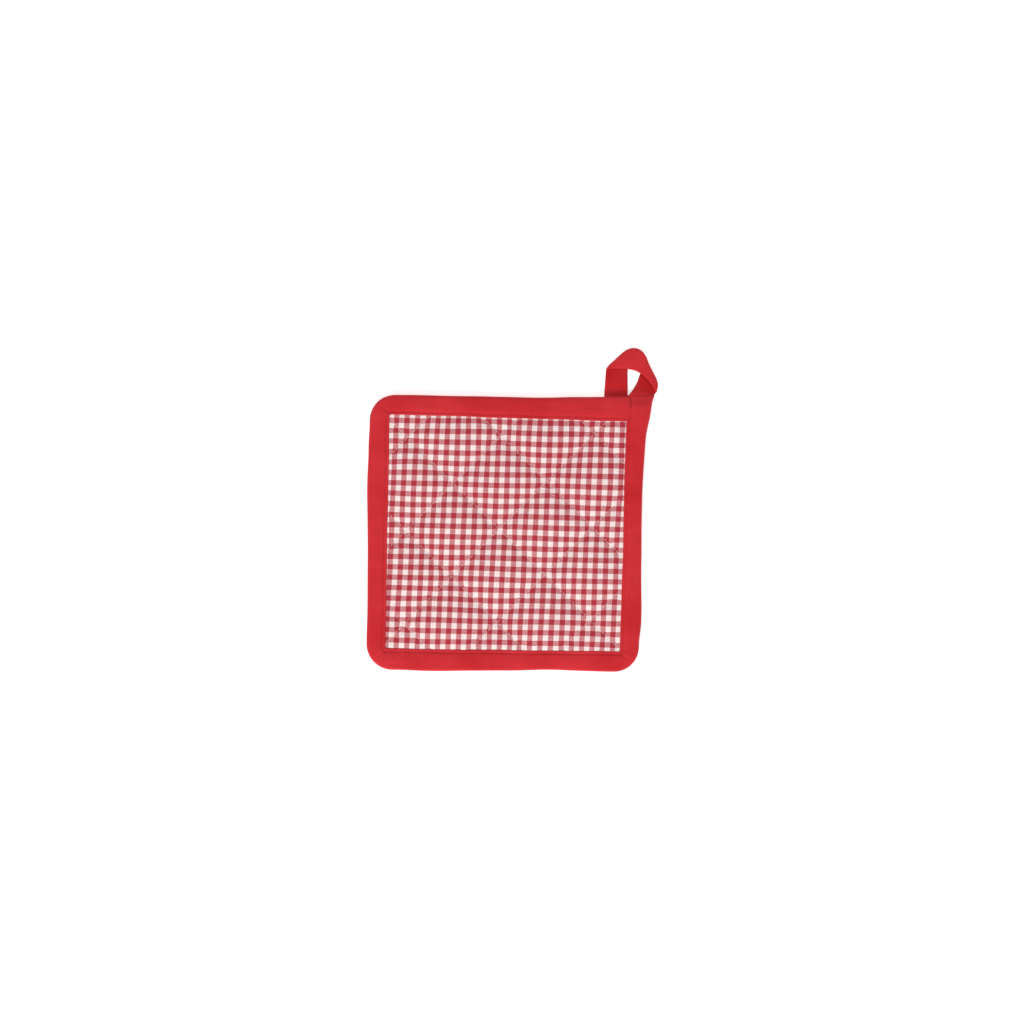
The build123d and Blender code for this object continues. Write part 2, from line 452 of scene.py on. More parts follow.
# Relief of its front and back leaves
LEAF_DROP = 0.75
LEAF_CROWN = 0.55
SEAM_DIP = 0.42
SEAM_PUCKER = 0.11
RUMPLE = 0.17
TUCK_DEPTH = 0.95
LAP_RISE = 0.5
BACK_LEAF_RISE = 0.80
BACK_LEAF_CROWN = 0.32
BACK_SEAM_DIP = 0.20
BACK_SEAM_PUCKER = 0.06

# How pale handling has made it, from 0 to 1
BINDING_WEAR = 0.44
OUTER_FOLD_WEAR = 0.3
HEM_WEAR = 0.15

# Where the tape starts and ends at the top right corner, and how it passes over its start there
OVERLAP_START_X = 93.0
STRIP_END = (90.6, 100.4)
STRIP_HEM_BOW = 1.0
LIFT_START_Y = 74.0
LIFT_RUN = 8.0
FRONT_LIFT = 0.75
BACK_LIFT = 0.55
MOUTH_START_Y = 91.0
MOUTH_TOP = (4.6, 2.6)
MOUTH_DEPTH = 1.5


def left_of(direction):
    """A direction in plan turned a quarter anticlockwise."""
    return np.array([-direction[1], direction[0]])


def corner_arc(before, corner, after, radius):
    """Points along a rounded corner of an anticlockwise outline."""
    before, corner, after = (np.asarray(p, float) for p in (before, corner, after))
    come = (corner - before) / np.linalg.norm(corner - before)
    leave = (after - corner) / np.linalg.norm(after - corner)
    turn = math.acos(float(np.clip(come @ leave, -1.0, 1.0)))
    centre = corner - come * radius * math.tan(turn / 2) + left_of(come) * radius
    start = math.atan2(-left_of(come)[1], -left_of(come)[0])
    angles = start + turn * np.linspace(0.0, 1.0, CORNER_STATIONS)
    return centre + radius * np.stack([np.cos(angles), np.sin(angles)], axis=1)


def between(start, end):
    """Evenly spaced points from start to end, without the two ends."""
    t = (np.arange(SIDE_STATIONS) + 1) / (SIDE_STATIONS + 1)
    return start + np.outer(t, end - start)


def push_out(path, distance):
    """Move the points of an anticlockwise path outwards."""
    direction = unit_rows(np.gradient(path, axis=0))
    return path + np.stack([direction[:, 1], -direction[:, 0]], axis=1) * distance[:, None]


def binding_outlines():
    """Matching points on the binding's inner and outer edges, round the pad from its top right corner.

    The third result says how far round its corner each point is, from 0 to 1, or -1 on a side."""
    bottom_left, bottom_right, top_right, top_left = FIELD
    inner_ring = [top_right, top_left, bottom_left, bottom_right, top_right]
    outer_ring = [TOP_RIGHT, TOP_LEFT, BOTTOM_LEFT, BOTTOM_RIGHT, (RIGHT_SIDE_AIM_X, TOP_RIGHT[1])]
    bows = list(SIDE_BOWS.values())
    slope = (top_right - top_left) / (top_right[0] - top_left[0])
    inner_start = top_right + slope * (OVERLAP_START_X - top_right[0])
    outer_start = np.array([OVERLAP_START_X, TOP_RIGHT[1]])
    shares = np.linspace(0.0, 1.0, SIDE_STATIONS)
    inner, outer, corner_share = [], [], []
    for number, radius in enumerate(CORNER_RADII):
        inner_arc = corner_arc(*inner_ring[number:number + 3], INNER_RADIUS)
        outer_arc = corner_arc(*outer_ring[number:number + 3], radius)
        side = push_out(between(outer_start, outer_arc[0]), smooth_run(bows[number], shares))
        step_out = np.linspace(bows[number][-1][1], bows[number + 1][0][1], CORNER_STATIONS)
        inner += [between(inner_start, inner_arc[0]), inner_arc]
        outer += [side, push_out(outer_arc, step_out)]
        corner_share += [np.full(SIDE_STATIONS, -1.0), np.linspace(0.0, 1.0, CORNER_STATIONS)]
        inner_start, outer_start = inner_arc[-1], outer_arc[-1]
    rise = np.linspace(0.0, 1.0, SIDE_STATIONS)[1:]
    last_inner = inner_start + np.outer(rise, np.array(STRIP_END) - inner_start)
    last_inner[:, 0] -= STRIP_HEM_BOW * np.sin(np.pi * rise ** 3)
    last_outer = flared_side(outer_start, rise)
    inner.append(last_inner)
    outer.append(push_out(last_outer, smooth_run(bows[-1], rise)))
    corner_share.append(np.full(len(rise), -1.0))
    return np.vstack(inner), np.vstack(outer), np.concatenate(corner_share)


def flared_side(start, rise):
    """The right-hand outer edge: straight at first, then flaring towards the loop."""
    y = start[1] + rise * (STRIP_END[1] - start[1])
    lean = (FLARE_X[0] - start[0]) / (FLARE_START_Y - start[1])
    x = np.where(y < FLARE_START_Y, start[0] + lean * (y - start[1]), FLARE_X[0])
    flare = np.clip((y - FLARE_START_Y) / (TOP_RIGHT[1] - FLARE_START_Y), 0.0, None) ** 2
    return np.stack([x + flare * (FLARE_X[1] - FLARE_X[0]), y], axis=1)


def waver(length, phase, size):
    """A slow uneven waver along an edge."""
    return size * (0.6 * np.sin(length / 11.3 + phase) + 0.5 * np.sin(length / 6.1 + 2.3 * phase)
                   + 0.4 * np.sin(length / 23.7 + 0.7 * phase))


def binding_surface():
    """The middle surface of the folded tape, each station from the front hem round to the back hem."""
    inner, outer, corner_share = binding_outlines()
    steps = np.linalg.norm(np.diff((inner + outer) / 2, axis=0), axis=1)
    length = np.concatenate([[0.0], np.cumsum(steps)])
    outward = unit_rows(outer - inner)
    outer = outer + outward * waver(length, 0.4, 0.10)[:, None]
    inner = inner + outward * waver(length, 2.9, 0.16)[:, None]
    width = np.linalg.norm(outer - inner, axis=1)
    reach = width - FOLD_DEPTH
    front_d = LEAF_SHARES * reach[:, None]
    back_d = LEAF_SHARES[::-1] * (reach + BACK_LAP)[:, None] - BACK_LAP
    top = front_profile(front_d, width[:, None], length[:, None], corner_share[:, None])
    bottom = back_profile(back_d, width[:, None], length[:, None])
    top, bottom = lift_over_start(top, bottom, inner)
    high, low = top[:, -1:], bottom[:, :1]
    fold_z = (high + low) / 2 + (high - low) / 2 * np.sin(FOLD_ANGLES)
    fold_d = reach[:, None] + (FOLD_DEPTH - LEAF_HALF) * np.cos(FOLD_ANGLES)
    d = np.concatenate([front_d, fold_d, back_d], axis=1)
    z = close_mouth(np.concatenate([top, fold_z, bottom], axis=1), d / width[:, None], inner, outer)
    plan = inner[:, None] + outward[:, None] * d[:, :, None]
    return np.concatenate([plan, z[:, :, None]], axis=2), length, d, width, front_d.shape[1]


def front_profile(d, width, length, corner_share):
    """Height of the tape's front leaf: pressed down at its seam, full between seam and fold."""
    share = np.clip((d - SEAM_INSET) / (width - SEAM_INSET - 1.0), 0.0, 1.0)
    z = EDGE_TOP - LEAF_DROP + LEAF_CROWN * np.sin(np.pi * share ** 0.8) ** 0.8
    z = z - SEAM_DIP * bell(d - SEAM_INSET, 0.75)
    pucker = np.sin(length / 1.25 + 1.5 * np.sin(length / 7.0)) + 0.6 * np.sin(length / 2.3 + 1.0)
    z = z + SEAM_PUCKER * pucker * bell(d - SEAM_INSET, 3.2)
    rumple = np.sin(length / 8.0 + d / 3.0) * np.sin(length / 3.7 - d / 4.0)
    z = z + RUMPLE * rumple * smooth_step(d / 3.0)
    past = corner_share - 0.5
    along_tuck = (1.0 - smooth_step(d / width * 1.1)) * smooth_step((d - 0.6) / 2.8)
    tuck = -TUCK_DEPTH * bell(past, 0.07) * along_tuck
    lap = LAP_RISE * smooth_step(past / 0.12 + 0.5) * (1.0 - smooth_step(past * 2.1)) * (1.0 - d / width)
    return z + np.where(corner_share >= 0.0, tuck + lap, 0.0)


def back_profile(d, width, length):
    """Height of the tape's back leaf, which lies close to what the pad rests on."""
    share = np.clip((d + BACK_LAP) / (width + BACK_LAP - 1.0), 0.0, 1.0)
    z = EDGE_BOTTOM + BACK_LEAF_RISE - BACK_LEAF_CROWN * np.sin(np.pi * share) ** 0.8
    z = z + BACK_SEAM_DIP * bell(d - SEAM_INSET, 0.8)
    pucker = np.sin(length / 1.4 + 1.5 * np.sin(length / 6.0))
    return z + BACK_SEAM_PUCKER * pucker * bell(d - SEAM_INSET, 3.0)


def on_last_side(inner):
    """Which stations lie on the right-hand side, where the tape ends."""
    return (np.arange(len(inner)) > len(inner) - SIDE_STATIONS)[:, None]


def lift_over_start(top, bottom, inner):
    """The right-hand strip passes over the tape's start at the top right corner, front and back."""
    past_start = (inner[:, 1:] - LIFT_START_Y) / LIFT_RUN
    over = np.where(on_last_side(inner), smooth_step(past_start), 0.0)
    return top + FRONT_LIFT * over, bottom - BACK_LIFT * over


def close_mouth(z, share, inner, outer):
    """The right-hand strip closes down to a flat double tape where the loop leaves it."""
    share = np.clip(share, 0.0, 1.0)
    y = inner[:, None, 1] + (outer - inner)[:, None, 1] * share
    past_start = (y - MOUTH_START_Y) / (STRIP_END[1] - MOUTH_START_Y)
    closing = np.where(on_last_side(inner), smooth_step(past_start), 0.0)
    high = MOUTH_TOP[0] + (MOUTH_TOP[1] - MOUTH_TOP[0]) * share
    level = np.clip((z - EDGE_BOTTOM) / (EDGE_TOP - EDGE_BOTTOM), 0.0, 1.0)
    return z + (high - MOUTH_DEPTH * (1.0 - level) - z) * closing


def binding_wear(d, width, length):
    """The tape is paler where it has been handled: on its outer fold, its hem and here and there."""
    slow = 0.07 * np.sin(length / 19.0 + 0.6) + 0.05 * np.sin(length / 7.3 + 2.0)
    return BINDING_WEAR + OUTER_FOLD_WEAR * bell(d - width, 1.1) + HEM_WEAR * bell(d, 0.5) + slow


def edge_binding():
    """The binding as one closed skin, the line of its seam in plan, and its length."""
    grid, length, d, width, front_count = binding_surface()
    girth = np.concatenate([np.zeros((len(grid), 1)),
                            np.cumsum(np.linalg.norm(np.diff(grid, axis=1), axis=2), axis=1)], axis=1)
    along = np.repeat(length[:, None], grid.shape[1], axis=1)
    wear_and_painted_shade = binding_wear(d, width[:, None], length[:, None])
    piece = tape_skin("edge_binding", grid, along, girth, wear_and_painted_shade, LEAF_HALF)
    front_share = SEAM_INSET / d[:, front_count - 1]
    seam = grid[:, 0, :2] + (grid[:, front_count - 1, :2] - grid[:, 0, :2]) * front_share[:, None]
    return piece, seam, length[-1]


# ---------------- hanging loop

TAPE_HALF = 0.45
LOOP_WIDTH = 16.3
ACROSS = 13
SEAM_COLUMN = 1

# Levels of the middle of the tape: in the legs behind and in the band in front
LEG_Z = 0.5
BAND_Z = 2.1

# Each row crosses the tape: its hole-side or upper end, its other end, each end's height over its level
LEFT_LEG_ROWS = [
    (89.2, 86.0, 73.2, 86.0, 0.0, 0.0),
    (89.3, 99.0, 73.1, 99.0, 0.1, 0.1),
    (89.3, 109.0, 73.6, 109.0, 0.7, 0.8),
    (89.3, 118.0, 74.0, 115.0, 0.2, 0.4),
    (89.5, 126.5, 74.2, 118.4, 0.0, 0.1),
    (89.7, 133.4, 74.6, 119.8, 0.0, 0.0),
]
BAND_ROWS = [
    (89.7, 133.4, 74.6, 119.8, -0.3, -0.3),
    (91.3, 134.2, 79.0, 120.2, 0.1, 0.1),
    (93.9, 134.5, 85.5, 120.2, 0.5, 0.4),
    (97.0, 133.9, 91.4, 119.6, 0.9, 0.6),
    (99.7, 132.4, 96.0, 118.4, 1.3, 1.0),
    (101.4, 130.7, 99.6, 116.3, 1.3, 1.6),
    (102.4, 129.2, 102.9, 113.6, 1.0, 2.0),
    (103.1, 127.9, 106.2, 109.9, 0.4, 1.7),
    (103.6, 126.6, 108.6, 106.1, -0.3, 0.8),
    (103.85, 125.7, 110.3, 102.6, -0.8, -0.3),
]
RIGHT_LEG_ROWS = [
    (103.85, 125.7, 110.3, 102.6, 0.0, 0.1),
    (101.3, 121.4, 109.8, 102.0, 0.0, 0.25),
    (99.0, 115.6, 109.3, 101.5, 0.3, 0.5),
    (97.1, 109.9, 108.9, 100.95, 1.1, 0.85),
    (94.7, 105.0, 108.45, 100.65, 2.3, 1.15),
    (92.6, 101.9, 108.2, 100.45, 3.15, 1.3),
    (91.4, 100.4, 108.05, 100.2, 3.35, 1.35),
    (91.3, 98.8, 107.7, 98.8, 3.1, 1.1),
]
BULGE_DIRECTION = (0.95, 0.30)
BAND_BULGE = [0.0, 0.0, 0.0, 0.0, 0.3, 0.8, 1.4, 1.9, 2.2, 2.3]
LEG_BULGE = [2.3, 1.6, 1.0, 0.6, 0.3, 0.1, 0.0, 0.0]
LEFT_CREASE_OUT = (-0.66, 0.75, 0.0)
RIGHT_CREASE_OUT = (0.93, 0.37, 0.0)
ROW_STEPS = 7
LEFT_LEG_STEPS = 8
CREASE_STEPS = 8
MOUTH_HALF = 1.15
MOUTH_BLEND = 9.0

# How pale the loop is: its band is as worn as the binding; its legs take a low value, painted shade for
# lying behind the band, and their foot is painted lighter towards the binding's value, painted light
# against the shadow the binding casts there
LEG_PAINTED_SHADE_WEAR = 0.05
FOOT_PAINTED_LIGHT_SHARE = 0.8
FOOT_PAINTED_LIGHT_REACH = 5.0


def rows_to_grid(rows, level, bulge, steps):
    """A surface from key rows across the tape, each bowed outwards to the right by its bulge."""
    keys = np.column_stack([np.array(rows), bulge])
    keys[:, 4:6] += level
    smooth = catmull(keys, steps)
    t = np.linspace(0.0, 1.0, ACROSS)[None, :]
    x = smooth[:, 0:1] * (1 - t) + smooth[:, 2:3] * t
    y = smooth[:, 1:2] * (1 - t) + smooth[:, 3:4] * t
    z = smooth[:, 4:5] * (1 - t) + smooth[:, 5:6] * t
    bow = smooth[:, 6:7] * np.sin(np.pi * t ** 1.9)
    return np.stack([x + BULGE_DIRECTION[0] * bow, y + BULGE_DIRECTION[1] * bow, z], axis=2)


def rolled_fold(start_row, end_row, outward):
    """The turn of the tape round a flat fold, from one layer's last row to the next layer's first."""
    middle = (start_row + end_row) / 2
    half = (end_row - start_row) / 2
    from_end = 0.5 - np.abs(np.linspace(-0.5, 0.5, ACROSS))
    reach = np.abs(half[:, 2:3]) * (0.3 + 0.7 * smooth_step(5.0 * from_end))[:, None]
    rows = []
    for angle in np.linspace(-math.pi / 2, math.pi / 2, CREASE_STEPS)[1:-1]:
        rows.append(middle + half * math.sin(angle) + np.array(outward) * reach * math.cos(angle))
    return np.array(rows)


def hanging_loop():
    """The loop as one closed skin: tail, two legs behind, band in front. With its length and its seams."""
    left_leg = rows_to_grid(LEFT_LEG_ROWS, LEG_Z, [0.0] * len(LEFT_LEG_ROWS), LEFT_LEG_STEPS)
    band = rows_to_grid(BAND_ROWS, BAND_Z, BAND_BULGE, ROW_STEPS)
    right_leg = rows_to_grid(RIGHT_LEG_ROWS, LEG_Z, LEG_BULGE, ROW_STEPS)
    left_fold = rolled_fold(left_leg[-1], band[0], LEFT_CREASE_OUT)
    right_fold = rolled_fold(band[-1], right_leg[0], RIGHT_CREASE_OUT)
    grid = np.concatenate([left_leg, left_fold, band, right_fold, right_leg])
    middle = grid[:, ACROSS // 2]
    steps = np.linalg.norm(np.diff(middle, axis=0), axis=1)
    length = np.concatenate([[0.0], np.cumsum(steps)])
    along = np.repeat(length[:, None], ACROSS, axis=1)
    across = np.repeat(np.linspace(0.0, LOOP_WIDTH, ACROSS)[None, :], len(grid), axis=0)
    towards_mouth = smooth_step(1.0 - (length[-1] - length) / MOUTH_BLEND)
    half_thickness = TAPE_HALF + (MOUTH_HALF - TAPE_HALF) * towards_mouth
    in_front = np.zeros(len(grid))
    in_front[len(left_leg):len(grid) - len(right_leg)] = 1.0
    # Painted shade and light: the legs come out darker than the band, and their foot is lightened where
    # the binding shades it
    painted_light_at_foot = FOOT_PAINTED_LIGHT_SHARE * bell(middle[:, 1] - TOP_RIGHT[1], FOOT_PAINTED_LIGHT_REACH)
    wear_with_painted_shade = LEG_PAINTED_SHADE_WEAR + (BINDING_WEAR - LEG_PAINTED_SHADE_WEAR) * np.maximum.reduce([in_front, towards_mouth, painted_light_at_foot])
    wear_and_painted_shade = np.repeat(wear_with_painted_shade[:, None], ACROSS, axis=1)
    piece = tape_skin("loop_tape", grid, along, across, wear_and_painted_shade, half_thickness[:, None])
    return piece, length[-1], seam_tracks(grid, half_thickness)


def seam_tracks(grid, half_thickness):
    """The line of the loop's seam on each face of its tape: places, and which way is out of the cloth."""
    normal = surface_normals(grid)[:, SEAM_COLUMN]
    middle = grid[:, SEAM_COLUMN]
    out = normal * half_thickness[:, None]
    return [np.hstack([middle + face * out, face * normal]) for face in (1, -1)]


# ---------------- stitches

STITCH_PITCH = 3.1
STITCH_GAP = 0.7
THREAD_RADIUS = 0.15
STITCH_RINGS = 7
STITCH_SIDES = 6
LAST_STITCH_INSET = 0.6


def stitch_solid(points, faces, start, end, normal):
    """One visible stitch: a short thread that comes up out of the cloth, lies on it and goes down."""
    run = end - start
    side = np.cross(normal, run / np.linalg.norm(run))
    first = len(points)
    for ring in range(STITCH_RINGS):
        t = ring / (STITCH_RINGS - 1)
        lift = THREAD_RADIUS * (math.sin(math.pi * t) ** 0.5 * 1.6 - 0.9)
        thin = THREAD_RADIUS * (0.55 + 0.45 * math.sin(math.pi * t) ** 0.5)
        centre = start + run * t + normal * lift
        for number in range(STITCH_SIDES):
            angle = 2 * math.pi * number / STITCH_SIDES
            points.append(centre + thin * (math.cos(angle) * side + math.sin(angle) * normal))
    for ring in range(STITCH_RINGS - 1):
        for number in range(STITCH_SIDES):
            a = first + ring * STITCH_SIDES + number
            b = first + ring * STITCH_SIDES + (number + 1) % STITCH_SIDES
            faces.append((a, b, b + STITCH_SIDES, a + STITCH_SIDES))
    last = first + (STITCH_RINGS - 1) * STITCH_SIDES
    faces.append(tuple(first + n for n in reversed(range(STITCH_SIDES))))
    faces.append(tuple(last + n for n in range(STITCH_SIDES)))


def walk(path, places=2):
    """Rows a stitch apart along a path, whose first columns are places and whose others go with them."""
    steps = np.linalg.norm(np.diff(path[:, :places], axis=0), axis=1)
    length = np.concatenate([[0.0], np.cumsum(steps)])
    marks = np.arange(0.0, length[-1], STITCH_PITCH)
    return np.stack([np.interp(marks, length, column) for column in path.T], axis=1)


def sew(points, faces, path, tree, side):
    """A row of stitches along a path in plan, laid on the surface of a tree."""
    marks = walk(path)
    for here, there in zip(marks[:-1], marks[1:]):
        end = here + (there - here) * (1.0 - STITCH_GAP / STITCH_PITCH)
        heights = [surface_height(tree, *p, side) for p in (here, end)]
        if None in heights:
            continue
        start3 = np.array([*here, heights[0]])
        end3 = np.array([*end, heights[1]])
        stitch_solid(points, faces, start3, end3, np.array([0.0, 0.0, side]))


def sew_track(name, tracks):
    """Rows of stitches along lines in space that carry their own outward direction."""
    points, faces = [], []
    for track in tracks:
        marks = walk(track, places=3)
        for here, there in zip(marks[:-1], marks[1:]):
            end = here[:3] + (there - here)[:3] * (1.0 - STITCH_GAP / STITCH_PITCH)
            stitch_solid(points, faces, here[:3], end, here[3:])
    return mesh_object(name, points, faces)


def quilting_paths():
    """The quilting lines in plan, cut at the binding."""
    paths = []
    for number in range(-2, 3):
        u = SUM_OFFSET + number * SUM_PITCH
        w = DIFFERENCE_OFFSET + number * DIFFERENCE_PITCH
        run = np.arange(-150.0, 150.0, 0.5)
        for line_u, line_w in ((np.full_like(run, u), run), (run, np.full_like(run, w))):
            plan = np.stack([(line_u - line_w) / ROOT2, (line_u + line_w) / ROOT2], axis=1)
            inside = plan[field_inset(plan[:, 0], plan[:, 1]) > LAST_STITCH_INSET]
            if len(inside) > 8:
                paths.append(inside)
    return paths


def stitches(name, rows, tree, side):
    """All rows of one thread on one face as one piece."""
    points, faces = [], []
    for row in rows:
        sew(points, faces, row, tree, side)
    return mesh_object(name, points, faces)


# ---------------- materials

# The tape's red from unworn to worn; the unworn red also paints the loop's legs darker as painted shade
RED_TAPE_FRESH_AND_SHADED = (0.480, 0.0085, 0.0120, 1.0)
RED_TAPE_WORN = (0.660, 0.0360, 0.0480, 1.0)
PATCHINESS = 0.8
CHECK_RED = (0.400, 0.0290, 0.0470, 1.0)
CHECK_WHITE = (0.880, 0.740, 0.715, 1.0)
CHECK_TINTED = (0.730, 0.400, 0.405, 1.0)
THREAD_RED = (0.500, 0.0180, 0.0260, 1.0)
THREAD_WHITE = (0.740, 0.640, 0.610, 1.0)
WADDING_WHITE = (0.860, 0.840, 0.790, 1.0)
FLOOR_WHITES = ((0.93, 0.93, 0.93, 1.0), (0.95, 0.95, 0.95, 1.0))
TAPE_YARN_PITCHES = (0.27, 0.25)

# Roughness and sheen of each material
CHECK_FINISH = (0.88, 0.08)
TAPE_FINISH = (0.86, 0.07)
THREAD_FINISH = (0.62, 0.15)
WADDING_FINISH = (0.95, 0.3)
FLOOR_FINISH = (0.9, 0.0)

# How dark each cloth is at its darkest, from 0 to 1, what its unevenness adds, and how much painted shade
# darkens the low parts of its relief between yarns, twists and fibres
CHECK_DARKEST = 0.67
CHECK_YARN_TONE = 0.16
CHECK_SPECKLE = 0.22
CHECK_GROOVE_PAINTED_SHADE = 0.16
TAPE_DARKEST = 0.80
TAPE_YARN_TONE = 0.12
TAPE_GROOVE_PAINTED_SHADE = 0.14
THREAD_DARKEST = 0.78
THREAD_TWIST_PAINTED_SHADE = 0.25
WADDING_DARKEST = 0.75
WADDING_CLUMP_TONE = 0.1
WADDING_FIBRE_PAINTED_SHADE = 0.2

# Bump: one strength, and a depth in metres for each cloth
BUMP_STRENGTH = 0.6
CHECK_BUMP = 0.00012
TAPE_BUMP = 0.00009
THREAD_BUMP = 0.00005
WADDING_BUMP = 0.0004


def new_material(name, roughness, sheen):
    """An empty cloth material. Returns it with its node tree and its shader."""
    material = bpy.data.materials.new(name)
    material.use_nodes = True
    tree = material.node_tree
    shader = tree.nodes["Principled BSDF"]
    shader.inputs["Roughness"].default_value = roughness
    shader.inputs["Specular IOR Level"].default_value = 0.15
    shader.inputs["Sheen Weight"].default_value = sheen
    shader.inputs["Sheen Roughness"].default_value = 0.5
    return material, tree, shader


def calculate(tree, operation, *values):
    """A math node on sockets and numbers. Returns its result."""
    node = tree.nodes.new("ShaderNodeMath")
    node.operation = operation
    for socket, value in zip(node.inputs, values):
        if isinstance(value, (int, float)):
            socket.default_value = value
        else:
            tree.links.new(value, socket)
    return node.outputs[0]


def mix_colours(tree, share, first, second, blend="MIX"):
    """A colour between two colours or sockets."""
    node = tree.nodes.new("ShaderNodeMix")
    node.data_type = "RGBA"
    node.blend_type = blend
    for socket, value in ((node.inputs[0], share), (node.inputs[6], first), (node.inputs[7], second)):
        if isinstance(value, (int, float, tuple)):
            socket.default_value = value
        else:
            tree.links.new(value, socket)
    return node.outputs[2]


def cloth_axes(tree):
    """The two cloth coordinates in millimetres."""
    uv = tree.nodes.new("ShaderNodeUVMap")
    uv.uv_map = "cloth"
    split = tree.nodes.new("ShaderNodeSeparateXYZ")
    tree.links.new(uv.outputs["UV"], split.inputs[0])
    return split.outputs["X"], split.outputs["Y"]


def noise(tree, scale, detail=2.0):
    """Smooth noise in object space, centred near 0.5."""
    node = tree.nodes.new("ShaderNodeTexNoise")
    node.inputs["Scale"].default_value = scale
    node.inputs["Detail"].default_value = detail
    tree.links.new(tree.nodes.new("ShaderNodeTexCoord").outputs["Object"], node.inputs["Vector"])
    return node.outputs["Fac"]


def each_yarn(tree, number, seed):
    """A random value for each yarn number."""
    node = tree.nodes.new("ShaderNodeTexWhiteNoise")
    node.noise_dimensions = "1D"
    tree.links.new(calculate(tree, "ADD", number, seed), node.inputs["W"])
    return node.outputs["Value"]


def yarn_round(tree, place):
    """The round top of each yarn across its width, from its place counted in yarns."""
    return calculate(tree, "SINE", calculate(tree, "MULTIPLY", calculate(tree, "FRACT", place), math.pi))


def yarn_relief(tree, own_round, other_round):
    """The height of a yarn that lies on top: its own roundness, highest in the middle of the crossing."""
    return calculate(tree, "MULTIPLY", own_round, calculate(tree, "MULTIPLY_ADD", other_round, 0.5, 0.5))


def plain_weave(tree, warp_pitch, weft_pitch):
    """A plain weave of yarns.

    Returns which yarn is on top (1 for the warp), both yarn numbers, and the relief."""
    u, v = cloth_axes(tree)
    warp_place = calculate(tree, "DIVIDE", u, warp_pitch)
    weft_place = calculate(tree, "DIVIDE", v, weft_pitch)
    warp = calculate(tree, "FLOOR", warp_place)
    weft = calculate(tree, "FLOOR", weft_place)
    parity = calculate(tree, "FLOORED_MODULO", calculate(tree, "ADD", warp, weft), 2.0)
    over = calculate(tree, "GREATER_THAN", parity, 0.5)
    warp_round = yarn_round(tree, warp_place)
    weft_round = yarn_round(tree, weft_place)
    warp_up = yarn_relief(tree, warp_round, weft_round)
    weft_up = yarn_relief(tree, weft_round, warp_round)
    return over, warp, weft, choose(tree, over, weft_up, warp_up)


def choose(tree, switch, at_zero, at_one):
    """The first value where the switch is 0 and the second where it is 1."""
    node = tree.nodes.new("ShaderNodeMix")
    node.data_type = "FLOAT"
    tree.links.new(switch, node.inputs[0])
    tree.links.new(at_zero, node.inputs[2])
    tree.links.new(at_one, node.inputs[3])
    return node.outputs[0]


def set_bump(tree, shader, height, distance):
    """Give a shader a bump of a height from 0 to 1, over a distance in metres."""
    bump = tree.nodes.new("ShaderNodeBump")
    bump.inputs["Strength"].default_value = BUMP_STRENGTH
    bump.inputs["Distance"].default_value = distance
    tree.links.new(height, bump.inputs["Height"])
    tree.links.new(bump.outputs["Normal"], shader.inputs["Normal"])


def in_red_half(tree, yarn):
    """1 where a yarn number falls in the dyed half of the check's repeat."""
    place = calculate(tree, "FLOORED_MODULO", yarn, YARNS_PER_REPEAT)
    return calculate(tree, "LESS_THAN", place, YARNS_PER_REPEAT / 2)


def gingham():
    """Woven checks: red and white yarns both ways, white yarn tinted where red lies under it."""
    material, tree, shader = new_material("red_gingham", *CHECK_FINISH)
    over, warp, weft, relief = plain_weave(tree, REPEAT_ACROSS / YARNS_PER_REPEAT,
                                           REPEAT_UP / YARNS_PER_REPEAT)
    warp_red = in_red_half(tree, warp)
    weft_red = in_red_half(tree, weft)
    top_red = choose(tree, over, weft_red, warp_red)
    any_red = calculate(tree, "MAXIMUM", warp_red, weft_red)
    pale = mix_colours(tree, any_red, CHECK_WHITE, CHECK_TINTED)
    cloth_colour = mix_colours(tree, top_red, pale, CHECK_RED)
    tone = choose(tree, over, each_yarn(tree, weft, 0.37), each_yarn(tree, warp, 400.61))
    speckle = noise(tree, 900.0, 3.0)
    uneven = calculate(tree, "ADD", calculate(tree, "MULTIPLY", tone, CHECK_YARN_TONE),
                       calculate(tree, "MULTIPLY", speckle, CHECK_SPECKLE))
    darkened = calculate(tree, "ADD", uneven, CHECK_DARKEST)
    # Painted shade: each yarn is darkened towards its low edges, where it dips under its neighbours
    shade = calculate(tree, "MULTIPLY_ADD", relief, CHECK_GROOVE_PAINTED_SHADE, darkened)
    set_shaded_colour(tree, shader, cloth_colour, shade)
    set_bump(tree, shader, relief, CHECK_BUMP)
    return material


def set_shaded_colour(tree, shader, colour, shade):
    """Give a shader a colour, darkened by a shade from 0 to 1."""
    grey = tree.nodes.new("ShaderNodeCombineColor")
    for socket in grey.inputs:
        tree.links.new(shade, socket)
    shaded = mix_colours(tree, 1.0, colour, grey.outputs[0], "MULTIPLY")
    tree.links.new(shaded, shader.inputs["Base Color"])


